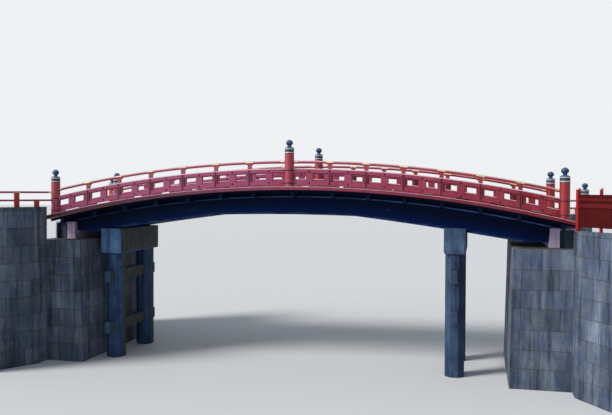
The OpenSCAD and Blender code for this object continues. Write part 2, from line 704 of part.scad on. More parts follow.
// Bearing block for the end at +X, with pockets for the girders and the last cross-beam
module bearing_block(shift) color(pink_granite) difference() {
    x0 = end_post_x - block_front;
    x1 = end_post_x + block_past;
    translate([0, bearing_len / 2, abutment_z() + fit]) rotate([90, 0, 0]) linear_extrude(bearing_len)
        polygon([[x0, 0], [x1, 0], [x1, bearing_t], [x0 + block_batter, bearing_t]]);
    girder_room(shift);
    band(cross_h, past, end_post_x - cross_w / 2 - fit, end_post_x + cross_w / 2 + fit, 0, 2 * cross_len);
    for (s = [-1, 1]) translate([x1 - recess_len, s * bearing_len / 2 - recess_t, 0])
        cube([recess_len - slab_t, 2 * recess_t, abutment_z() + bearing_t - slab_t]);
}

module left_bearing_block() mirror([1, 0, 0]) bearing_block(girder_shift);
module right_bearing_block() bearing_block(-girder_shift);

// Places children, drawn along +X from the end post with the wall's top at zero, on a wing
module at_wing(end, side) translate([end * end_post_x, side * rail_y, wing_z(end, side)])
    mirror([end < 0 ? 1 : 0, 0, 0]) mirror([0, side < 0 ? 1 : 0, 0]) rotate([0, 0, wing_turn]) children();

module wing_walls(end) color(granite) for (side = [-1, 1]) difference() {
    at_wing(end, side) translate([-past, -wing_wall_t / 2, -wing_z(end, side)])
        cube([past + wall_len(end, side), wing_wall_t, wing_z(end, side)]);
    translate([-4 * end_post_x, -deck_w / 2 - fit, -fit]) cube([8 * end_post_x, deck_w + 2 * fit, 2 * deck_z]);
    translate([-wing_wall_x, -deck_w, -fit]) cube([2 * wing_wall_x, 2 * deck_w, 2 * deck_z]);
}

module wing_rails() color(vermilion) for (w = railed) at_wing(w[0], w[1]) difference() {
    union() {
        translate([0, -wing_mid_w / 2, wing_mid_z]) cube([wing_len, wing_mid_w, wing_mid_t]);
        translate([0, 0, wing_top_z]) rotate([0, 90, 0])
            cylinder(r = wing_top_d / 2, h = wing_len, $fn = small_fn);
    }
    for (x = [0, wing_len]) translate([x, 0, -past])
        cylinder(r = post_r + strap_t + 2 * fit, h = 2 * past, $fn = round_fn);
}

module wing_struts() color(vermilion) for (w = railed) at_wing(w[0], w[1]) {
    for (x = [wing_len / 4, wing_len / 2, wing_len * 3 / 4])
        translate([x - wing_strut_w / 2, -wing_strut_t / 2, fit])
            cube([wing_strut_w, wing_strut_t, wing_mid_z - 2 * fit]);
    difference() {
        translate([wing_len / 2 - wing_strut_w / 2, -wing_strut_t / 2, wing_mid_z + wing_mid_t + fit])
            cube([wing_strut_w, wing_strut_t, wing_top_z - wing_mid_z - wing_mid_t]);
        translate([0, 0, wing_top_z]) rotate([0, 90, 0])
            cylinder(r = wing_top_d / 2 + sleeve_t + 2 * fit, h = wing_len, $fn = small_fn);
    }
}

module wing_posts() color(vermilion) for (w = railed)
    at_wing(w[0], w[1]) translate([wing_len, 0, fit])
        cylinder(r = post_r, h = wing_post_t - fit, $fn = round_fn);

// A square post with a flat cap, on the middle of its foot
module fence_post(w) {
    cap_w = w + 2 * fence_cap_out;
    translate([-w / 2, -w / 2, 0]) cube([w, w, fence_post_t]);
    translate([-cap_w / 2, -cap_w / 2, fence_post_t]) cube([cap_w, cap_w, fence_cap_t]);
}

// The fence's end post, and thinner posts behind the boarding
module fence_posts() color(vermilion) at_wing(1, -1) {
    translate([fence_x, 0, fit]) fence_post(fence_end_w);
    for (i = [1:fence_bays])
        translate([fence_x + i * fence_gap, -(boarding_t + fence_post_w) / 2 - fit, fit])
            fence_post(fence_post_w);
}

// Boarding from the end post past the others, with two rails on its face
module fence_boards() color(vermilion) at_wing(1, -1) {
    x = fence_x + fence_end_w / 2 + fit;
    w = fence_bays * fence_gap + (fence_post_w - fence_end_w) / 2 - fit;
    translate([x, -boarding_t / 2, board_z]) cube([w, boarding_t, board_top_z - board_z]);
    translate([x, boarding_t / 2 + fit, low_bar_z]) cube([w, bar_w, low_bar_t]);
    translate([x, boarding_t / 2 + fit, high_bar_z]) cube([w, bar_w, high_bar_t]);
}

deck();
edge_boards(-1);  // near_edge_boards
edge_boards(1);  // far_edge_boards
joists();
cross_beams();
closing_boards();
middle_girders();
left_girders();
right_girders();
base_rails(-1);  // near_base_rails
base_rails(1);  // far_base_rails
panels(-1);  // near_panels
panels(1);  // far_panels
mid_rails(-1);  // near_mid_rails
mid_rails(1);  // far_mid_rails
struts(-1);  // near_struts
struts(1);  // far_struts
top_rails(-1);  // near_top_rails
top_rails(1);  // far_top_rails
sleeves(-1);  // near_sleeves
sleeves(1);  // far_sleeves
ironwork(-1);  // near_ironwork
ironwork(1);  // far_ironwork
posts(-1);  // near_posts
posts(1);  // far_posts
finials(-1);  // near_finials
finials(1);  // far_finials
wing_finials();
finial_rings();
left_pier_cap();
right_pier_cap();
left_pier_columns();
right_pier_columns();
pier_ties();
left_abutment();
right_abutment();
left_bearing_block();
right_bearing_block();
wing_walls(-1);  // left_wing_walls
wing_walls(1);  // right_wing_walls
wing_rails();
wing_struts();
wing_posts();
fence_posts();
fence_boards();
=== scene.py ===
import math
import random

import bmesh
import bpy
from mathutils import Matrix, Vector


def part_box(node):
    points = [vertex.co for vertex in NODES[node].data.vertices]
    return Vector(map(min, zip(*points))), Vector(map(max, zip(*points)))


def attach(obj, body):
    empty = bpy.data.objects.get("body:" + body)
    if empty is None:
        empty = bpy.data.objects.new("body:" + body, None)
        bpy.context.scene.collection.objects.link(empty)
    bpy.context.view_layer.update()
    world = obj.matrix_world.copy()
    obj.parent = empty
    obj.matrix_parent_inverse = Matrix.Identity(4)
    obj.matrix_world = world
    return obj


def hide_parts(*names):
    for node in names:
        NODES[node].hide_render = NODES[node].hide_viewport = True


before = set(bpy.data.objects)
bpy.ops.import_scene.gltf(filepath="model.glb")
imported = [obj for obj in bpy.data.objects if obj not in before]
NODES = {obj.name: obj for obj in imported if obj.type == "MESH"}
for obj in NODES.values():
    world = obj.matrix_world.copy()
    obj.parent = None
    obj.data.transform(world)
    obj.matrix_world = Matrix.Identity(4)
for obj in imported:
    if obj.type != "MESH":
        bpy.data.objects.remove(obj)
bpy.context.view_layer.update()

# Sizes that part.scad drives. Heights named _H are measured over the deck's underside.
# Arch of the deck's underside, and the boards on it
DECK_R = 59.27
DECK_Z = 9.41
BOARD_T = 0.09
EDGE_H = 0.17
# Balustrade
RAIL_Y = 3.509
END_POST_X = 13.3
FIRST_STRUT_X = 2.108
STRUT_GAP = 1.839
STRUTS_PER_HALF = 6
PANEL_T = 0.08
WINDOW_W = 0.55
WINDOW_FRAME = 0.012
WINDOW_H0 = 0.555
WINDOW_H1 = 0.825
BLOCK_W = 0.35
TOP_H = 1.41
TOP_R = 0.075
SLEEVE_LEN = 0.4
SLEEVE_T = 0.0055
# Joists and girders
JOIST_LINES = 5
JOIST_Y = 2.82
BEAM_END_Y = 2.9
GIRDER_SHIFT = 0.58
GIRDER_H = -0.33
MIDDLE_UNDER_Z = 8.125
HAUNCH_X = 3.8
HAUNCH_SLOPE = 0.119
INNER_CURVE = 220
OUTER_CURVE = 348
# Limits of the bearing blocks' side recesses: along the bridge, across it and up
RECESS = (13.2, 2.505, 7.51)
# Wings and their walls
WING_TURN = math.radians(58)
WING_LEN = 4.36
WING_TOP_Z = 0.795
WING_TOP_R = 0.055
WING_WALL_T = 0.62
WING_WALL_PAST = 0.4
WING_WALL_X = 13.68
ABUTMENT_Y = 3.7605
ABUTMENT_BATTER = 0.16
# Fence on the near right wing
FENCE_Z = 7.5598
FENCE_X = 0.94
FENCE_GAP = 1.41
FENCE_BAYS = 2
FENCE_END_W = 0.15
FENCE_POST_W = 0.105
FENCE_POST_T = 1.89
BOARD_Z = 0.19
BOARD_TOP_Z = 1.66
BOARDING_T = 0.04
BARS = [(1.07, 1.24), (1.37, 1.49)]
BAR_W = 0.045

# Sizes of what is added here
# Deck
PLANK_W = 0.235
PLANK_GAP = 0.008
NAIL_R = 0.011
NAIL_T = 0.005
NAIL_SINK = 0.003
NAIL_APART = 0.12
# Balustrade
EDGE_NAIL_R = 0.017
EDGE_NAIL_T = 0.008
EDGE_NAIL_APART = 0.14
EDGE_NAIL_ROWS = (0.045, 0.125)
FRAME_RIB = 0.028
FRAME_PROUD = 0.02
FRAME_SINK = 0.004
SILL_DROP = 0.022
SLEEVE_BEAD = 0.009
ROUND_SIDES = 24
WING_SLEEVE_LEN = 0.24
WING_SLEEVE_STARTS = (0.2, WING_LEN - 0.42)
# Walls
JOINT = 0.014
BLOCK_BEVEL = 0.011
BLOCK_DEPTH = 0.42
COURSE_STEP = 0.95
FRONT_BLOCK_W = 1.9
SIDE_BLOCK_W = 1.7
WING_BLOCK_W = 1.6
WING_WALL_START = 0.1
COPING_W = 1.9
COPING_T = 0.2
CORE_INSET = 0.03
CORE_DROP = 0.007
# Fence
FENCE_PLANK_W = 0.19
FENCE_PLANK_GAP = 0.004
FENCE_RAIL_GAP = 0.002
FENCE_FIT = 0.0005
# Easing of edges: what counts as one corner, as flat and as sharp
MERGE_DISTANCE = 3e-4
FLAT_ANGLE = math.radians(0.05)
SHARP_ANGLE = math.radians(25)

# Places along the bridge: the struts, and all that bounds a bay
HALF_XS = [FIRST_STRUT_X + i * STRUT_GAP for i in range(STRUTS_PER_HALF)]
STRUT_XS = [-x for x in reversed(HALF_XS)] + HALF_XS
STATIONS = [-END_POST_X] + STRUT_XS[:STRUTS_PER_HALF] + [0.0] + HALF_XS + [END_POST_X]


def arch_z(x, h):
    """The height of the arch at x, h over the deck's underside."""
    return DECK_Z - DECK_R + math.sqrt((DECK_R + h) ** 2 - x * x)


def slope(x):
    """Angle of the arch above the horizontal at x."""
    return -math.asin(x / DECK_R)


def pairs(places):
    """Each place with the next."""
    return list(zip(places, places[1:]))


def scaled_colour(colour, factor):
    """The colour made darker or paler."""
    return tuple(c * factor for c in colour)


# Materials

class Shader:
    """A Principled material, with short calls for the nodes that feed it."""

    def __init__(self, name):
        self.mat = bpy.data.materials.new(name)
        self.mat.use_nodes = True
        self.nodes = self.mat.node_tree.nodes
        self.links = self.mat.node_tree.links
        self.bsdf = self.nodes["Principled BSDF"]
        self.place = self.nodes.new("ShaderNodeTexCoord").outputs["Object"]

    def put(self, socket, value):
        """Sets a socket to a number or colour, or links it to an output."""
        if isinstance(value, bpy.types.NodeSocket):
            self.links.new(value, socket)
        elif isinstance(value, tuple) and len(value) == 3 and socket.type == "RGBA":
            socket.default_value = (*value, 1)
        else:
            socket.default_value = value

    def set(self, **values):
        """Sets the Principled shader's own sockets."""
        for key, value in values.items():
            self.put(self.bsdf.inputs[key.replace("_", " ")], value)

    def node(self, kind, *values, operation=None):
        """A new node, with its operation and its first inputs."""
        node = self.nodes.new("ShaderNode" + kind)
        if operation:
            node.operation = operation
        for socket, value in zip(node.inputs, values):
            self.put(socket, value)
        return node

    def math(self, operation, *values):
        return self.node("Math", *values, operation=operation).outputs[0]

    def times(self, first, *others):
        """The product of some values."""
        for other in others:
            first = self.math("MULTIPLY", first, other)
        return first

    def absolute(self, value):
        return self.math("ABSOLUTE", value)

    def vector(self, operation, *values):
        return self.node("VectorMath", *values, operation=operation).outputs[0]

    def axis(self, vector, index):
        return self.node("SeparateXYZ", vector).outputs[index]

    def moved(self):
        """The place, moved, for a second pattern that doesn't follow the first."""
        return self.vector("ADD", self.place, (13.7, 5.3, 31.0))

    def own(self):
        """The place, moved by each block's own shade, for a pattern that ends at its joints."""
        return self.vector("MULTIPLY_ADD", self.attribute("shade"), (37.0, 23.0, 41.0), self.place)

    def noise(self, scale, detail, rough=0.55, vector=None):
        node = self.nodes.new("ShaderNodeTexNoise")
        self.put(node.inputs["Vector"], vector or self.place)
        node.inputs["Scale"].default_value = scale
        node.inputs["Detail"].default_value = detail
        node.inputs["Roughness"].default_value = rough
        return node.outputs["Fac"]

    def streaks(self, scales, detail=4, rough=0.6, vector=None):
        """Noise with a scale of its own along each axis."""
        return self.noise(1.0, detail, rough,
                          self.vector("MULTIPLY", vector or self.place, scales))

    def cells(self, scale):
        node = self.nodes.new("ShaderNodeTexVoronoi")
        self.put(node.inputs["Vector"], self.place)
        node.inputs["Scale"].default_value = scale
        return node.outputs["Distance"]

    def span(self, value, low, high, out_low=0.0, out_high=1.0):
        """Maps a range of a value to another, clamped."""
        return self.node("MapRange", value, low, high, out_low, out_high).outputs["Result"]

    def mix(self, factor, a, b):
        node = self.nodes.new("ShaderNodeMix")
        node.data_type = "RGBA"
        for index, value in ((0, factor), (6, a), (7, b)):
            self.put(node.inputs[index], value)
        return node.outputs[2]

    def height(self):
        """The height over the deck's underside, measured along the arch's radius."""
        x = self.axis(self.place, 0)
        z = self.math("ADD", self.axis(self.place, 2), DECK_R - DECK_Z)
        square = self.math("ADD", self.times(x, x), self.times(z, z))
        return self.math("SUBTRACT", self.math("SQRT", square), DECK_R)

    def facing(self, index):
        """One part of the surface's normal."""
        return self.axis(self.nodes.new("ShaderNodeNewGeometry").outputs["Normal"], index)

    def attribute(self, name):
        node = self.nodes.new("ShaderNodeAttribute")
        node.attribute_name = name
        return node.outputs["Fac"]

    def bump(self, height, distance, strength, under=None):
        node = self.nodes.new("ShaderNodeBump")
        self.put(node.inputs["Height"], height)
        node.inputs["Distance"].default_value = distance
        node.inputs["Strength"].default_value = strength
        if under:
            self.put(node.inputs["Normal"], under)
        return node.outputs["Normal"]


# Painted sky reflection: the mauve sheen that the red lacquers take on towards the left
SKY_SHEEN_TINT = (0.34, 0.088, 0.185)
# Painted highlight: the pale colour of sills and lips that catch the sky
PAINTED_HIGHLIGHT = (0.68, 0.50, 0.54)
PALE_CAP = (0.62, 0.6, 0.56)


def lacquer(name, colour, faded, dust_and_light_colour, gloss=0.42, coat=0.06, pale_over=None, lit_band=None,
            dust_and_light_amount=1.0, sky_sheen=0.75, left_shade=None, end_shade=0.28):
    """Weathered lacquer: faded patches, rain streaks, a painted sky reflection in mauve that grows
    to the left, painted shade towards both ends, and a film of dirt with a painted top light on
    what faces up. It can also take a painted highlight in a strip of heights, painted shade
    towards the left, and a pale cap over a height."""
    s = Shader(name)
    along = s.axis(s.place, 0)
    base = s.mix(s.span(s.noise(0.9, 5), 0.38, 0.66), colour, faded)
    runs = s.span(s.streaks((9, 9, 0.7)), 0.5, 0.72)
    base = s.mix(s.times(runs, 0.6), base, scaled_colour(colour, 0.55))
    # Painted reflection: a mauve sky sheen over the red, growing to the left
    sheen_mask = s.times(s.span(along, 12.5, -6.0, 0.0, sky_sheen),
                   s.span(s.noise(1.3, 4), 0.3, 0.6, 0.8, 1.15))
    base = s.mix(sheen_mask, base, SKY_SHEEN_TINT)
    # Painted shade: darker towards both ends of the bridge
    for near_x, end_x in ((-7.0, -13.5), (7.0, 13.5)):
        base = s.mix(s.span(along, near_x, end_x, 0.0, end_shade), base,
                     scaled_colour(colour, 0.3))
    # Painted shade: darker towards the left end
    if left_shade:
        base = s.mix(s.span(along, -1.0, -9.0, 0.0, 0.75), base, left_shade)
    flecks = s.span(s.noise(38, 3), 0.66, 0.74)
    base = s.mix(s.times(flecks, 0.45), base, dust_and_light_colour)
    # What faces up takes the pale colour: dirt that has come to rest there, and a painted top
    # light
    dust_and_top_light = s.times(s.span(s.facing(2), 0.25, 0.6),
                      s.span(s.noise(7, 4), 0.25, 0.6, 0.6 * dust_and_light_amount, dust_and_light_amount))
    base = s.mix(dust_and_top_light, base, dust_and_light_colour)
    # Painted highlight: a pale strip between two heights over the deck's underside
    if lit_band:
        height = s.height()
        low, high = lit_band
        highlight_mask = s.times(s.span(height, low - 0.002, low + 0.002),
                       s.span(height, high + 0.002, high - 0.002),
                       s.span(s.noise(3, 4), 0.3, 0.6, 0.4, 0.8))
        base = s.mix(highlight_mask, base, PAINTED_HIGHLIGHT)
    if pale_over:
        over = s.span(s.axis(s.place, 2), pale_over - 0.004, pale_over + 0.004)
        base = s.mix(over, base, PALE_CAP)
    s.set(Base_Color=base,
          Roughness=s.span(s.noise(5, 4), 0.3, 0.7, gloss - 0.08, gloss + 0.14),
          Specular_IOR_Level=0.12, Coat_Weight=coat, Coat_Roughness=0.4)
    grain = s.streaks((3, 60, 60), 5)
    s.set(Normal=s.bump(grain, 0.0016, 0.5, s.bump(s.noise(2.2, 3), 0.012, 0.35)))
    return s.mat


def black_lacquer(name, ends=False, girder=False):
    """Blue-black lacquer; beam ends get a painted sky light, girders get painted sky light,
    painted shade and painted highlights along both edges, and what faces up gets dirt and a
    painted top light.
    """
    s = Shader(name)
    base = s.mix(s.span(s.noise(0.7, 4), 0.35, 0.68), (0.0012, 0.0032, 0.015),
                 (0.0018, 0.0065, 0.032))
    runs = s.span(s.streaks((5, 5, 0.5)), 0.55, 0.8)
    base = s.mix(s.times(runs, 0.35), base, (0.018, 0.03, 0.06))
    chips = s.span(s.noise(24, 4), 0.68, 0.76)
    base = s.mix(s.times(chips, 0.3), base, (0.09, 0.11, 0.14))
    if ends:
        # Painted sky light on the beams' end faces, paler and bluer in patches
        end = s.span(s.absolute(s.axis(s.place, 1)), BEAM_END_Y - 0.005, BEAM_END_Y + 0.005)
        paler_patches = s.span(s.noise(5, 4), 0.3, 0.6, 0.4, 1.0)
        base = s.mix(s.times(end, paler_patches), base, (0.008, 0.016, 0.042))
    if girder:
        base = girder_painted_light(s, base)
    # Pale blue on what faces up: dirt, and a painted sky light on the tops
    dust_and_top_light = s.times(s.span(s.facing(2), 0.3, 0.8), s.span(s.noise(6, 4), 0.3, 0.6, 0.5, 0.9))
    base = s.mix(dust_and_top_light, base, (0.2, 0.25, 0.33))
    s.set(Base_Color=base, Roughness=s.span(s.noise(4, 4), 0.3, 0.7, 0.38, 0.55),
          Specular_IOR_Level=0.08, Specular_Tint=(0.35, 0.6, 1.0))
    grain = s.streaks((2.5, 45, 45), 5)
    s.set(Normal=s.bump(grain, 0.002, 0.5, s.bump(s.noise(1.6, 3), 0.015, 0.35)))
    return s.mat


def girder_painted_light(s, base):
    """Painted sky light, bluer towards the right and the underside; painted shade high up under
    the deck; and painted highlights along both edges.
    """
    along = s.axis(s.place, 0)
    # Painted sky light: bluer towards the right
    bluer = s.times(s.span(along, -9.0, 2.0), s.span(s.noise(0.5, 3), 0.3, 0.6, 0.5, 1.0))
    base = s.mix(bluer, base, (0.0016, 0.0062, 0.040))

    # The height over the girders' haunched underside
    out = s.absolute(s.math("ADD", along, GIRDER_SHIFT))
    inner = s.math("MINIMUM", out, HAUNCH_X)
    outer = s.math("MAXIMUM", s.math("SUBTRACT", out, HAUNCH_X), 0.0)
    haunch = s.math("ADD", s.times(outer, HAUNCH_SLOPE), s.times(outer, outer, 1 / OUTER_CURVE))
    drop = s.math("ADD", s.times(inner, inner, 1 / INNER_CURVE), haunch)
    over = s.math("ADD", s.math("SUBTRACT", s.axis(s.place, 2), MIDDLE_UNDER_Z), drop)
    # Painted sky light near the underside, and painted shade high up under the deck
    base = s.mix(s.span(over, 0.52, 0.04, 0.0, 0.85), base, (0.0022, 0.0105, 0.066))
    base = s.mix(s.span(over, 0.40, 0.70, 0.0, 0.7), base, (0.0022, 0.0030, 0.012))

    # Painted highlight along the top edge, stronger to the right
    upper = s.times(s.span(s.height(), GIRDER_H - 0.052, GIRDER_H - 0.044),
                    s.span(s.streaks((1.2, 1.2, 6)), 0.3, 0.55, 0.35, 1.0),
                    s.span(along, -12.0, 9.0, 0.25, 1.0))
    base = s.mix(upper, base, (0.07, 0.16, 0.45))
    # Painted highlight along the bottom edge
    lower = s.times(s.span(over, 0.15, 0.05), s.span(s.streaks((1.6, 1.6, 8)), 0.38, 0.6), 0.75)
    return s.mix(lower, base, (0.035, 0.075, 0.16))


def stone(name, colour, pale, stain, green, green_amount, moss_and_side_shade=False, recess=None,
          blue_sky_cast=False):
    """Dressed stone: crystals, water stains down the face, pits, and green where water stays; it
    can also take a painted blue sky cast towards the left, painted shade with a moss tint on the
    faces turned to +X, and painted shade in a recess.
    """
    s = Shader(name)
    base = s.mix(s.span(s.noise(1.6, 6, 0.6), 0.35, 0.65), colour, pale)
    crystals = s.span(s.noise(85, 2), 0.42, 0.62)
    base = s.mix(s.times(crystals, 0.2), base, scaled_colour(pale, 1.4))
    runs = s.span(s.streaks((3.2, 3.2, 0.16), 5, 0.62), 0.48, 0.66)
    base = s.mix(s.times(runs, 0.75), base, stain)
    chalk = s.span(s.streaks((6.5, 6.5, 0.22)), 0.58, 0.72)
    base = s.mix(s.times(chalk, 0.5), base, pale)
    damp = s.math("ADD", s.noise(1.9, 6, 0.65), s.times(s.facing(2), 0.1))
    base = s.mix(s.times(s.span(damp, 0.56, 0.7), green_amount), base, green)
    # Painted sky light: bluer towards the left
    if blue_sky_cast:
        bluer = s.vector("MULTIPLY", base, (1.05, 1.28, 1.5))
        base = s.mix(s.span(s.axis(s.place, 0), 4.0, -7.0), base, bluer)
    # Painted shade with a moss tint: dark olive on the faces turned to +X
    if moss_and_side_shade:
        olive = s.mix(s.span(s.noise(2.4, 5), 0.35, 0.65), (0.022, 0.024, 0.018),
                      (0.06, 0.062, 0.035))
        base = s.mix(s.times(s.span(s.facing(0), 0.75, 0.95), 0.85), base, olive)
    # Painted shade in the bearing blocks' side recesses
    if recess:
        x, y, z = recess
        recess_shade = s.times(s.span(s.absolute(s.axis(s.place, 0)), x - 0.004, x),
                         s.span(s.absolute(s.axis(s.place, 1)), y, y - 0.004),
                         s.span(s.axis(s.place, 2), z, z - 0.004))
        base = s.mix(recess_shade, base, (0.028, 0.040, 0.062))
    s.set(Base_Color=base, Roughness=s.span(s.noise(9, 4), 0.3, 0.7, 0.72, 0.92),
          Specular_IOR_Level=0.25)
    fine = s.bump(s.noise(60, 5, 0.65), 0.004, 0.6)
    pits = s.bump(s.span(s.cells(22), 0.05, 0.3), 0.004, 0.35, fine)
    s.set(Normal=s.bump(s.noise(4, 5), 0.02, 0.6, pits))
    return s.mat


def wall_stone(name, pale, middle, blue, dark):
    """Wall stone: each block has its own tone and stains, and broken stains run down the wall."""
    s = Shader(name)
    base = s.mix(s.span(s.noise(1.1, 6, 0.65), 0.36, 0.64), middle, blue)
    broken = s.span(s.noise(0.75, 5, 0.6), 0.36, 0.6, 0.25, 1.0)
    wide = s.span(s.streaks((1.5, 1.5, 0.11), 5), 0.49, 0.6)
    base = s.mix(s.times(wide, broken, 0.85), base, pale)
    gaps = s.span(s.streaks((2.0, 2.0, 0.12), 5, 0.62, s.moved()), 0.50, 0.61)
    base = s.mix(s.times(gaps, s.span(broken, 0.25, 1.0, 0.9, 0.5)), base, dark)

    own = s.own()
    face = s.span(s.streaks((1.1, 1.1, 0.8), 5, 0.6, own), 0.4, 0.62)
    base = s.mix(s.times(face, 0.2), base, middle)
    thin = s.span(s.streaks((5, 5, 0.9), 5, 0.65, own), 0.5, 0.7)
    base = s.mix(s.times(thin, 0.4), base, dark)
    chalk = s.span(s.streaks((8, 8, 1.2), 4, 0.6, own), 0.58, 0.72)
    base = s.mix(s.times(chalk, 0.45), base, pale)

    blotches = s.span(s.noise(3.4, 6, 0.7), 0.52, 0.66)
    base = s.mix(s.times(blotches, 0.4), base, (0.075, 0.08, 0.062))
    grit = s.span(s.noise(60, 3), 0.4, 0.65)
    base = s.mix(s.times(grit, 0.25), base, dark)
    tone = s.node("VectorMath", base, operation="SCALE")
    s.put(tone.inputs["Scale"], s.span(s.attribute("shade"), 0.0, 1.0, 0.74, 1.2))
    top = s.mix(s.span(s.noise(2.2, 5), 0.35, 0.65), (0.08, 0.085, 0.07), (0.17, 0.18, 0.17))
    base = s.mix(s.span(s.facing(2), 0.4, 0.8), tone.outputs[0], top)
    s.set(Base_Color=base, Roughness=s.span(s.noise(9, 4), 0.3, 0.7, 0.72, 0.92),
          Specular_IOR_Level=0.2)
    fine = s.bump(s.noise(45, 5, 0.65), 0.004, 0.5)
    s.set(Normal=s.bump(s.noise(2.6, 5), 0.012, 0.5, fine))
    return s.mat


def planks_material():
    """Weathered deck planks, each with its own tone, paler from wear along the walkway's middle.
    """
    s = Shader("deck_planks")
    base = s.mix(s.attribute("shade"), (0.30, 0.115, 0.085), (0.36, 0.20, 0.15))
    grain = s.streaks((55, 2.2, 55), 6)
    base = s.mix(s.span(grain, 0.42, 0.66), base, (0.16, 0.07, 0.055))
    paler_patches = s.times(s.span(s.absolute(s.axis(s.place, 1)), 2.6, 0.6),
                   s.span(s.noise(2.5, 5), 0.35, 0.62), 0.7)
    base = s.mix(paler_patches, base, (0.42, 0.32, 0.26))
    s.set(Base_Color=base, Roughness=s.span(grain, 0.3, 0.7, 0.6, 0.82),
          Normal=s.bump(grain, 0.003, 0.6))
    return s.mat


def gilt_material(name, sleeves=False):
    """Gilt sheet metal, with browner hollows and a few tarnished specks; the sleeves get painted
    shade towards both ends of the bridge, and painted shade with a painted red reflection
    underneath."""
    s = Shader(name)
    base = s.mix(s.span(s.noise(6, 4), 0.35, 0.68), (0.84, 0.74, 0.52), (0.70, 0.57, 0.33))
    base = s.mix(s.span(s.noise(30, 3), 0.66, 0.76), base, (0.25, 0.17, 0.08))
    if sleeves:
        along = s.axis(s.place, 0)
        # Painted shade: the sleeves duller towards both ends of the bridge
        for near_x, end_x, amount in ((2.0, -6.0, 0.8), (7.0, 11.0, 0.4)):
            base = s.mix(s.span(along, near_x, end_x, 0.0, amount), base, (0.40, 0.29, 0.18))
        # Painted shade and a painted red reflection on the sleeves' undersides
        under = s.times(s.span(s.height(), TOP_H + 0.012, TOP_H - 0.03),
                        s.span(s.absolute(along), END_POST_X, END_POST_X - 0.1))
        base = s.mix(under, base, (0.20, 0.045, 0.035))
    s.set(Base_Color=base, Roughness=s.span(s.noise(9, 3), 0.3, 0.7, 0.4, 0.6),
          Normal=s.bump(s.noise(14, 3), 0.003, 0.4), Metallic=0.4)
    return s.mat


def bronze_material():
    """Dark cast bronze, with pale blue patina in runs, and the same pale blue on what faces up, as
    patina and a painted top light.
    """
    s = Shader("bronze_patina")
    patina_and_top_light = (0.07, 0.16, 0.33)
    base = s.mix(s.span(s.noise(4, 5), 0.35, 0.65), (0.005, 0.011, 0.034), (0.020, 0.056, 0.160))
    runs = s.span(s.streaks((14, 14, 1.6)), 0.5, 0.7)
    base = s.mix(s.times(runs, 0.5), base, patina_and_top_light)
    # What faces up turns pale blue: patina, and a painted top light
    base = s.mix(s.times(s.span(s.facing(2), 0.25, 0.9), 0.75), base, patina_and_top_light)
    s.set(Base_Color=base, Roughness=s.span(s.noise(8, 4), 0.3, 0.7, 0.32, 0.6),
          Normal=s.bump(s.noise(22, 4), 0.003, 0.45), Metallic=0.3)
    return s.mat


def iron_material():
    """Black lacquered iron, dulled by the red around it, with rust specks."""
    s = Shader("black_iron")
    base = s.mix(s.span(s.noise(9, 4), 0.4, 0.7), (0.028, 0.010, 0.020), (0.075, 0.022, 0.040))
    base = s.mix(s.span(s.noise(26, 4), 0.66, 0.76), base, (0.16, 0.04, 0.04))
    s.set(Base_Color=base, Roughness=s.span(s.noise(12, 3), 0.3, 0.7, 0.4, 0.65),
          Normal=s.bump(s.noise(30, 4), 0.002, 0.5), Specular_IOR_Level=0.25)
    return s.mat


RED = lacquer("red_lacquer", (0.30, 0.007, 0.010), (0.34, 0.018, 0.026), (0.62, 0.40, 0.43),
              coat=0.65, sky_sheen=0.3, end_shade=0.08)
RED_RAILS = lacquer("red_rails", (0.32, 0.014, 0.020), (0.37, 0.040, 0.052), (0.66, 0.44, 0.47),
                    coat=0.4, sky_sheen=0.5)
RED_BOARDS = lacquer("red_boards", (0.27, 0.016, 0.028), (0.32, 0.045, 0.066), (0.62, 0.46, 0.50))
# The edge board: a painted highlight along its top and painted shade towards the left
RED_EDGE = lacquer("red_edge", (0.155, 0.010, 0.014), (0.19, 0.026, 0.034), (0.42, 0.27, 0.31),
                   lit_band=(EDGE_H - 0.022, EDGE_H + 0.05), sky_sheen=0.45,
                   left_shade=(0.028, 0.009, 0.020))
# The window frames: a painted highlight along the sloping sills
RED_FRAMES = lacquer("red_frames", (0.27, 0.016, 0.028), (0.32, 0.045, 0.066), (0.62, 0.46, 0.50),
                     lit_band=(WINDOW_H0 - SILL_DROP - 0.004, WINDOW_H0 + 0.001))
ORANGE = lacquer("orange_lacquer", (0.44, 0.035, 0.020), (0.48, 0.08, 0.05), (0.6, 0.4, 0.34),
                 sky_sheen=0.1, end_shade=0.0)
FENCE_RED = lacquer("fence_red", (0.40, 0.010, 0.018), (0.43, 0.03, 0.038), (0.5, 0.3, 0.3),
                    gloss=0.5, pale_over=FENCE_Z + FENCE_POST_T, sky_sheen=0.0)
FENCE_BOARDS = lacquer("fence_boards", (0.062, 0.003, 0.003), (0.10, 0.006, 0.006),
                       (0.2, 0.05, 0.05), gloss=0.55, coat=0.0, dust_and_light_amount=0.5, sky_sheen=0.0)
FENCE_RAILS = lacquer("fence_rails", (0.12, 0.006, 0.009), (0.16, 0.012, 0.016), (0.3, 0.08, 0.08),
                      gloss=0.55, coat=0.0, dust_and_light_amount=0.5, sky_sheen=0.0)
BLACK = black_lacquer("black_lacquer")
BLACK_BEAMS = black_lacquer("black_beams", ends=True)
BLACK_GIRDERS = black_lacquer("black_girders", girder=True)
# The blue in the granites is a painted sky cast
GRANITE = stone("grey_granite", (0.030, 0.062, 0.125), (0.072, 0.125, 0.205),
                (0.010, 0.021, 0.052), (0.045, 0.055, 0.035), 0.3, moss_and_side_shade=True, blue_sky_cast=True)
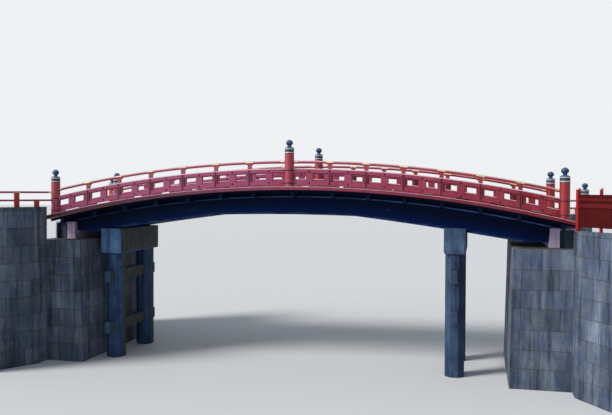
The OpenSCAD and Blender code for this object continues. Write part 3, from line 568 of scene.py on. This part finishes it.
# The granite darker and bluer: painted shade on the pier columns and ties
SHADED_GRANITE = stone("shaded_granite", (0.016, 0.032, 0.070), (0.040, 0.072, 0.132),
                     (0.005, 0.010, 0.028), (0.030, 0.045, 0.042), 0.2, moss_and_side_shade=True,
                     blue_sky_cast=True)
PINK = stone("pink_granite", (0.36, 0.27, 0.40), (0.46, 0.36, 0.52), (0.24, 0.18, 0.27),
             (0.24, 0.22, 0.16), 0.1, recess=RECESS)
MASONRY = wall_stone("masonry_stone", (0.21, 0.26, 0.33), (0.12, 0.14, 0.18),
                     (0.055, 0.085, 0.16), (0.016, 0.020, 0.032))
MORTAR = stone("mortar", (0.045, 0.05, 0.058), (0.08, 0.085, 0.095), (0.025, 0.027, 0.03),
               (0.05, 0.055, 0.03), 0.3)
PLANKS = planks_material()
GILT = gilt_material("gilt_metal")
GILT_SLEEVES = gilt_material("gilt_sleeves", sleeves=True)
BRONZE = bronze_material()
IRON = iron_material()


# Meshes

def finish_piece(bm, name, material, smooth=True):
    """Turns a bmesh into a piece that rides on the bridge."""
    mesh = bpy.data.meshes.new(name)
    bmesh.ops.recalc_face_normals(bm, faces=bm.faces)
    bm.to_mesh(mesh)
    bm.free()
    mesh.materials.append(material)
    mesh.polygons.foreach_set("use_smooth", [smooth] * len(mesh.polygons))
    piece = bpy.data.objects.new(name, mesh)
    bpy.context.scene.collection.objects.link(piece)
    if smooth:
        even = piece.modifiers.new("even_normals", "WEIGHTED_NORMAL")
        even.keep_sharp = True
    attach(piece, "root")
    return piece


def skin(bm, rings, capped=True):
    """Faces from each ring of corners to the next, and over both ends or back to the start."""
    rings = [[bm.verts.new(corner) for corner in ring] for ring in rings]
    faces = []
    if capped:
        faces += [bm.faces.new(rings[0][::-1]), bm.faces.new(rings[-1])]
    else:
        rings.append(rings[0])
    for a, b in pairs(rings):
        for i in range(len(a)):
            j = (i + 1) % len(a)
            faces.append(bm.faces.new((a[i], a[j], b[j], b[i])))
    return faces


def prism(bm, lower, upper, shade=0.5):
    """A block from the corners of its foot and of its head."""
    layer = bm.faces.layers.float.get("shade") or bm.faces.layers.float.new("shade")
    for face in skin(bm, (lower, upper)):
        face[layer] = shade


def soften(bm, width, segments=1):
    """Bevels every sharp edge."""
    bmesh.ops.recalc_face_normals(bm, faces=bm.faces)
    bm.normal_update()
    sharp = [e for e in bm.edges if len(e.link_faces) == 2 and e.calc_face_angle(0) > SHARP_ANGLE]
    bmesh.ops.bevel(bm, geom=sharp, offset=width, segments=segments, profile=0.5, affect="EDGES",
                    clamp_overlap=True)


def worn_copy(node, width, material, segments=2):
    """Stands for a CAD node: the same shape with its sharp edges eased. Corners that nearly meet
    are joined first, because their short edges would keep the bevel from being cut."""
    bm = bmesh.new()
    bm.from_mesh(NODES[node].data)
    bmesh.ops.remove_doubles(bm, verts=bm.verts, dist=MERGE_DISTANCE)
    bmesh.ops.dissolve_limit(bm, angle_limit=FLAT_ANGLE, verts=bm.verts, edges=bm.edges)
    soften(bm, width, segments)
    piece = finish_piece(bm, node + "_eased", material)
    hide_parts(node)


def arch_profile(bm, x0, x1, profile, steps=1):
    """A bar along the arch, with four edges that each have a place across the bridge and a
    height over the deck's underside."""
    xs = [x0 + (x1 - x0) * i / steps for i in range(steps + 1)]
    skin(bm, [[(x, y, arch_z(x, h)) for y, h in profile] for x in xs])


def arch_bar(bm, x0, x1, h0, h1, y0, y1, steps=1):
    """A bar along the arch between two heights over the deck's underside."""
    arch_profile(bm, x0, x1, ((y0, h0), (y1, h0), (y1, h1), (y0, h1)), steps)


def circle(sides, radius):
    """Points round a circle."""
    turns = [2 * math.pi * i / sides for i in range(sides)]
    return [(radius * math.cos(turn), radius * math.sin(turn)) for turn in turns]


def dome(bm, centre, normal, radius, height, sides=8):
    """A flat-domed nail or bolt head on a face."""
    turn = normal.to_track_quat("Z", "Y").to_matrix().to_4x4()
    place = Matrix.Translation(centre) @ turn
    skin(bm, [[place @ Vector((x, y, height * up)) for x, y in circle(sides, radius * out)]
              for out, up in ((1.0, 0.0), (0.86, 0.55), (0.5, 0.9))])


# Deck

def deck_planks():
    """Crosswise planks in place of the CAD deck, with gaps and uneven edges."""
    rng = random.Random(11)
    bm = bmesh.new()
    low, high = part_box("deck")
    count = round((high.x - low.x) / PLANK_W)
    pitch = (high.x - low.x) / count
    for i in range(count):
        x0 = low.x + i * pitch + PLANK_GAP / 2
        x1 = low.x + (i + 1) * pitch - PLANK_GAP / 2
        top = BOARD_T + rng.uniform(-0.0025, 0.0015)
        y0, y1 = low.y + rng.uniform(0.0, 0.004), high.y - rng.uniform(0.0, 0.004)
        lower, upper = [[(x, y, arch_z(x, h)) for x, y in ((x0, y0), (x1, y0), (x1, y1), (x0, y1))]
                        for h in (0, top)]
        prism(bm, lower, upper, rng.random())
    soften(bm, 0.006)
    piece = finish_piece(bm, "deck_planks", PLANKS)
    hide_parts("deck")
    return count, pitch, low.x


def deck_nails(count, pitch, start):
    """Two nails in each plank over each line of joists."""
    bm = bmesh.new()
    for i in range(count):
        x = start + (i + 0.5) * pitch
        up = Vector((math.sin(-slope(x)), 0, math.cos(slope(x))))
        for line in range(JOIST_LINES):
            y = -JOIST_Y + line * 2 * JOIST_Y / (JOIST_LINES - 1)
            for at in (x - NAIL_APART / 2, x + NAIL_APART / 2):
                dome(bm, Vector((at, y, arch_z(at, BOARD_T - NAIL_SINK))), up, NAIL_R, NAIL_T, 6)
    finish_piece(bm, "deck_nails", IRON)


# Balustrade

def window_frames(side):
    """Mouldings round the windows, on both faces of the boarding, with a sloping sill."""
    bm = bmesh.new()
    for a, b in pairs(STATIONS):
        for hand in (-1, 1):
            x0, x1 = sorted((a + b) / 2 + hand * (BLOCK_W / 2 + reach)
                            for reach in (WINDOW_FRAME, WINDOW_W))
            for face in (-1, 1):
                y = side * RAIL_Y + face * PANEL_T / 2
                inner, outer = y - face * FRAME_SINK, y + face * FRAME_PROUD
                ya, yb = sorted((inner, outer))
                sill = [(inner, WINDOW_H0 - FRAME_RIB), (outer, WINDOW_H0 - FRAME_RIB),
                        (outer, WINDOW_H0 - SILL_DROP), (inner, WINDOW_H0)]
                arch_profile(bm, x0 - FRAME_RIB, x1 + FRAME_RIB, sill, 2)
                arch_bar(bm, x0 - FRAME_RIB, x1 + FRAME_RIB, WINDOW_H1, WINDOW_H1 + FRAME_RIB,
                         ya, yb, 2)
                arch_bar(bm, x0 - FRAME_RIB, x0, WINDOW_H0, WINDOW_H1, ya, yb)
                arch_bar(bm, x1, x1 + FRAME_RIB, WINDOW_H0, WINDOW_H1, ya, yb)
    soften(bm, 0.009)
    finish_piece(bm, ("near" if side < 0 else "far") + "_window_frames", RED_FRAMES)


def sleeve_rims():
    """Raised beads at both ends of each gilt sleeve."""
    bm = bmesh.new()
    rail_r = TOP_R + SLEEVE_T + 0.2 * SLEEVE_BEAD
    for side in (-1, 1):
        for x in STRUT_XS:
            for end in (-1, 1):
                at = x + end * (SLEEVE_LEN / 2 - SLEEVE_BEAD)
                centre = Vector((at, side * RAIL_Y, arch_z(at, TOP_H)))
                tilt = Matrix.Translation(centre) @ Matrix.Rotation(-slope(at), 4, "Y")
                skin(bm, [[tilt @ Vector((along, y, z))
                           for y, z in circle(ROUND_SIDES, rail_r + out / 2)]
                          for along, out in circle(6, SLEEVE_BEAD)], capped=False)
    finish_piece(bm, "sleeve_rims", GILT_SLEEVES)


def wing_place(u, v):
    """A place beside a wing's middle line, for the far right wing."""
    return (END_POST_X + u * math.cos(WING_TURN) - v * math.sin(WING_TURN),
            RAIL_Y + u * math.sin(WING_TURN) + v * math.cos(WING_TURN))


def wing_sleeves():
    """Gilt sleeves on the top rails of the three railed wings, where they meet the posts."""
    bm = bmesh.new()
    for end, side in ((-1, -1), (-1, 1), (1, 1)):
        axis_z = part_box(("left" if end < 0 else "right") + "_wing_walls")[1].z + WING_TOP_Z
        for start in WING_SLEEVE_STARTS:
            rings = []
            for u in (start, start + WING_SLEEVE_LEN):
                points = [(*wing_place(u, v), z)
                          for v, z in circle(ROUND_SIDES, WING_TOP_R + SLEEVE_T)]
                rings.append([(end * x, side * y, axis_z + z) for x, y, z in points])
            skin(bm, rings)
    soften(bm, 0.003)
    finish_piece(bm, "wing_sleeves", GILT)


def edge_board_nails():
    """Pairs of nail heads where each edge board meets a cross-beam."""
    bm = bmesh.new()
    outer_y = abs(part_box("near_edge_boards")[0].y)
    for side in (-1, 1):
        for x in STATIONS:
            for at in (x - EDGE_NAIL_APART / 2, x + EDGE_NAIL_APART / 2):
                for h in EDGE_NAIL_ROWS:
                    place = Vector((at, side * outer_y, arch_z(at, h)))
                    dome(bm, place, Vector((0, side, 0)), EDGE_NAIL_R, EDGE_NAIL_T)
    finish_piece(bm, "edge_board_nails", IRON)


# Masonry

def courses(height, rng):
    """Heights of the level joints of a wall, a little uneven."""
    count = max(1, round(height / COURSE_STEP))
    joints = [height * i / count for i in range(count + 1)]
    return [0.0] + [z + rng.uniform(-0.03, 0.03) for z in joints[1:-1]] + [height]


def cuts(length, wanted, offset, rng):
    """Places of the upright joints of a course, with no very short block at either end."""
    places = [0.0]
    at = offset
    while at < length - 0.35 * wanted:
        if at > 0.25 * wanted:
            places.append(at + rng.uniform(-0.08, 0.08))
        at += wanted * rng.uniform(0.85, 1.15)
    return places + [length]


def block(bm, plans, z0, z1, rng, wall_top):
    """A dressed block from its plans at its foot and at its head, a little uneven; the top
    course has no joint over it."""
    levels = (z0 + JOINT / 2, z1 if z1 == wall_top else z1 - JOINT / 2)
    lower, upper = [[Vector((*p, z)) for p in plan] for plan, z in zip(plans, levels)]
    middle = sum(lower + upper, Vector()) / (2 * len(lower))
    for c in lower + upper:
        inward = middle - c
        inward.z = 0
        inward.normalize()
        c += inward * (JOINT / 2 + rng.uniform(0.0, 0.004))
    prism(bm, lower, upper, rng.random())


def finish_wall(blocks, core, node):
    """Turns the blocks and the core into pieces that stand for a CAD wall."""
    soften(blocks, BLOCK_BEVEL)
    piece = finish_piece(blocks, node + "_blocks", MASONRY)
    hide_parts(node)
    finish_piece(core, node + "_mortar", MORTAR, smooth=False)


def abutment_wall(end):
    """Coursed blocks round the abutment's battered core."""
    node = ("left" if end < 0 else "right") + "_abutment"
    rng = random.Random(21 + end)
    low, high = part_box(node)
    foot, back = (low.x, high.x) if end > 0 else (-high.x, -low.x)
    height = high.z
    bm = bmesh.new()

    def front(z):
        """Distance of the battered front from mid-span at a height."""
        return foot + ABUTMENT_BATTER * z / height

    def plan(a, b, y0, y1):
        """Corners between two distances from mid-span and two places across the bridge."""
        return [(end * a, y0), (end * b, y0), (end * b, y1), (end * a, y1)]

    for k, (z0, z1) in enumerate(pairs(courses(height, rng))):
        f0, f1 = front(z0), front(z1)
        last = back - BLOCK_DEPTH
        shift = FRONT_BLOCK_W / 2 * (k % 2)
        for y0, y1 in pairs(cuts(high.y - low.y, FRONT_BLOCK_W, shift, rng)):
            for a0, a1 in ((f0, f1), (last, last)):
                plans = [plan(a, a + BLOCK_DEPTH, low.y + y0, low.y + y1) for a in (a0, a1)]
                block(bm, plans, z0, z1, rng, height)
        run = last - f0 - BLOCK_DEPTH
        for x0, x1 in pairs(cuts(run, SIDE_BLOCK_W, SIDE_BLOCK_W / 2 * ((k + 1) % 2), rng)):
            for side in (low.y, high.y):
                inner = side + (BLOCK_DEPTH if side < 0 else -BLOCK_DEPTH)
                plans = [plan(f + BLOCK_DEPTH + x0,
                              last if x1 == run else f + BLOCK_DEPTH + x1, side, inner)
                         for f in (f0, f1)]
                block(bm, plans, z0, z1, rng, height)

    core = bmesh.new()
    prism(core, *[[(x, y, level) for x, y in
                   plan(front(z) + CORE_INSET, back - CORE_INSET, low.y + CORE_INSET,
                        high.y - CORE_INSET)]
                  for z, level in ((0, 0.0), (height, height - CORE_DROP))])
    finish_wall(bm, core, node)


def clip(points, axis, limit):
    """The part of a convex plan where a coordinate is at least a limit."""
    kept = []
    for a, b in zip(points, points[1:] + points[:1]):
        if a[axis] >= limit:
            kept.append(a)
        if (a[axis] - limit) * (b[axis] - limit) < 0:
            t = (limit - a[axis]) / (b[axis] - a[axis])
            kept.append((a[0] + t * (b[0] - a[0]), a[1] + t * (b[1] - a[1])))
    return kept


def wing_walls(end):
    """Coursed blocks of both wing walls at one end, under a row of coping stones."""
    node = ("left" if end < 0 else "right") + "_wing_walls"
    rng = random.Random(31 + end)
    start = WING_WALL_START
    bm = bmesh.new()
    core = bmesh.new()
    for side in (-1, 1):
        fenced = end > 0 and side < 0
        height = FENCE_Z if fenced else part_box(node)[1].z
        length = WING_WALL_PAST + (FENCE_X + FENCE_BAYS * FENCE_GAP if fenced else WING_LEN)

        def plan(a, b, inset=0.0):
            """Corners of a stretch of the wall, cut along the abutment."""
            half = WING_WALL_T / 2 - inset
            points = [wing_place(u, v)
                      for u, v in ((a, -half), (b - inset, -half), (b - inset, half), (a, half))]
            points = clip(clip(points, 1, ABUTMENT_Y + inset), 0, WING_WALL_X + inset)
            return [(end * x, side * y) for x, y in points]

        zs = courses(height - COPING_T, rng) + [height]
        for k, (z0, z1) in enumerate(pairs(zs)):
            wanted = COPING_W if z1 == height else WING_BLOCK_W
            for a, b in pairs(cuts(length - start, wanted, WING_BLOCK_W / 2 * (k % 2), rng)):
                stretch = plan(start + a, start + b)
                if len(stretch) > 2:
                    block(bm, (stretch, stretch), z0, z1, rng, height)
        stretch = plan(start, length, CORE_INSET)
        prism(core, *[[(*p, z) for p in stretch] for z in (0.0, height - CORE_DROP)])
    finish_wall(bm, core, node)


# Fence

def fence_bar(bm, a, b, v0, v1, z0, z1):
    """A board or bar along the fence, between two places along it and two across it."""
    plan = [wing_place(u, v) for u, v in ((a, v0), (b, v0), (b, v1), (a, v1))]
    prism(bm, *[[(x, -y, FENCE_Z + z) for x, y in plan] for z in (z0, z1)])


def fence_planks():
    """The fence's boarding as upright planks, with two rails that are jointed at the posts."""
    rng = random.Random(51)
    half_t = BOARDING_T / 2
    start = FENCE_X + FENCE_END_W / 2 + FENCE_FIT
    end = FENCE_X + FENCE_BAYS * FENCE_GAP + FENCE_POST_W / 2
    count = round((end - start) / FENCE_PLANK_W)
    pitch = (end - start) / count
    bm = bmesh.new()
    for k in range(count):
        a = start + k * pitch + (FENCE_PLANK_GAP / 2 if k else 0.0)
        b = start + k * pitch + pitch - (FENCE_PLANK_GAP / 2 if k < count - 1 else 0.0)
        thinner = rng.uniform(0.0, 0.005)
        foot = BOARD_Z + (rng.uniform(0.0, 0.006) if k else 0.0)
        fence_bar(bm, a, b, -half_t, half_t - thinner, foot, BOARD_TOP_Z)
    soften(bm, 0.004)
    planks = finish_piece(bm, "fence_planks", FENCE_BOARDS)

    bm = bmesh.new()
    joints = [start] + [FENCE_X + i * FENCE_GAP for i in range(1, FENCE_BAYS)] + [end]
    seat = half_t + FENCE_FIT
    for z0, z1 in BARS:
        for a, b in pairs(joints):
            a += FENCE_RAIL_GAP / 2 if a > start else 0.0
            b -= FENCE_RAIL_GAP / 2 if b < end else 0.0
            fence_bar(bm, a, b, seat, seat + BAR_W, z0, z1)
    soften(bm, 0.004)
    rails = finish_piece(bm, "fence_rails", FENCE_RAILS)
    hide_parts("fence_boards")
    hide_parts("fence_boards")


# The CAD's pieces

def dress(node, material):
    """Gives a CAD piece that stays as it is its finish."""
    mesh = NODES[node].data
    mesh.materials.clear()
    mesh.materials.append(material)


for side in ("near", "far"):
    dress(side + "_sleeves", GILT_SLEEVES)
    dress(side + "_ironwork", IRON)
    dress(side + "_posts", RED)
    dress(side + "_finials", BRONZE)
    dress(side + "_top_rails", RED_RAILS)
    worn_copy(side + "_edge_boards", 0.006, RED_EDGE)
    worn_copy(side + "_base_rails", 0.006, RED_BOARDS)
    worn_copy(side + "_panels", 0.004, RED_BOARDS, segments=1)
    worn_copy(side + "_mid_rails", 0.005, RED_BOARDS)
    worn_copy(side + "_struts", 0.005, RED_RAILS)
dress("wing_posts", ORANGE)
dress("wing_finials", BRONZE)
dress("finial_rings", GILT)
for node in ("middle_girders", "left_girders", "right_girders"):
    worn_copy(node, 0.012, BLACK_GIRDERS)
worn_copy("cross_beams", 0.006, BLACK_BEAMS)
worn_copy("joists", 0.006, BLACK)
worn_copy("closing_boards", 0.004, BLACK, segments=1)
for end in ("left", "right"):
    worn_copy(end + "_pier_cap", 0.018, GRANITE)
    worn_copy(end + "_pier_columns", 0.014, SHADED_GRANITE)
    worn_copy(end + "_bearing_block", 0.014, PINK)
worn_copy("pier_ties", 0.014, SHADED_GRANITE)
dress("wing_rails", RED_RAILS)
worn_copy("wing_struts", 0.005, ORANGE)
worn_copy("fence_posts", 0.008, FENCE_RED)

# The pieces that are added
deck_nails(*deck_planks())
window_frames(-1)
window_frames(1)
sleeve_rims()
wing_sleeves()
edge_board_nails()
abutment_wall(-1)
abutment_wall(1)
wing_walls(-1)
wing_walls(1)
fence_planks()


# Floor, light and camera

def add_object(name, data):
    """A new object in the scene."""
    added = bpy.data.objects.new(name, data)
    bpy.context.scene.collection.objects.link(added)
    return added


def studio():
    """A plain pale floor, a pale surround, a broad key light from the left, a low one beside it
    and a soft fill."""
    reach = 400.0
    floor_mesh = bpy.data.meshes.new("floor")
    floor_mesh.from_pydata([(-reach, -reach, 0), (reach, -reach, 0), (reach, reach, 0),
                            (-reach, reach, 0)], [], [(0, 1, 2, 3)])
    floor = add_object("floor", floor_mesh)
    pale = Shader("floor_pale")
    pale.set(Base_Color=(0.74, 0.75, 0.76), Roughness=0.9)
    floor_mesh.materials.append(pale.mat)

    world = bpy.data.worlds.new("surround")
    bpy.context.scene.world = world
    world.use_nodes = True
    nodes, links = world.node_tree.nodes, world.node_tree.links
    lit = nodes["Background"]
    lit.inputs["Color"].default_value = (0.78, 0.89, 1.0, 1)
    lit.inputs["Strength"].default_value = 0.36
    seen = nodes.new("ShaderNodeBackground")
    seen.inputs["Color"].default_value = (0.86, 0.88, 0.90, 1)
    seen.inputs["Strength"].default_value = 1.0
    path = nodes.new("ShaderNodeLightPath")
    either = nodes.new("ShaderNodeMath")
    either.operation = "MAXIMUM"
    links.new(path.outputs["Is Camera Ray"], either.inputs[0])
    links.new(path.outputs["Is Glossy Ray"], either.inputs[1])
    pick = nodes.new("ShaderNodeMixShader")
    links.new(either.outputs[0], pick.inputs[0])
    links.new(lit.outputs[0], pick.inputs[1])
    links.new(seen.outputs[0], pick.inputs[2])
    links.new(pick.outputs[0], nodes["World Output"].inputs["Surface"])

    for name, energy, wide, colour, aim in (
            ("key", 2.9, 18, (1.0, 0.97, 0.93), (0.72, 0.52, -0.62)),
            ("low", 1.0, 30, (0.78, 0.88, 1.0), (0.8, 0.6, -0.12))):
        lamp = bpy.data.lights.new(name, "SUN")
        lamp.energy = energy
        lamp.angle = math.radians(wide)
        lamp.color = colour
        add_object(name, lamp).rotation_euler = Vector(aim).to_track_quat("-Z", "Y").to_euler()


def camera():
    """The photograph's viewpoint, solved from the posts, struts and piers."""
    data = bpy.data.cameras.new("view")
    data.sensor_width = 36.0
    data.lens = 42.97
    data.clip_end = 1000.0
    eye = add_object("view", data)
    yaw, pitch, roll = math.radians(13.31), math.radians(-1.227), math.radians(0.18)
    turn = (Matrix.Rotation(yaw, 4, "Z") @ Matrix.Rotation(math.pi / 2 + pitch, 4, "X")
            @ Matrix.Rotation(roll, 4, "Z"))
    eye.matrix_world = Matrix.Translation((9.391, -39.515, 9.3085)) @ turn
    bpy.context.scene.camera = eye


studio()
camera()
bpy.context.scene.view_settings.view_transform = "Standard"
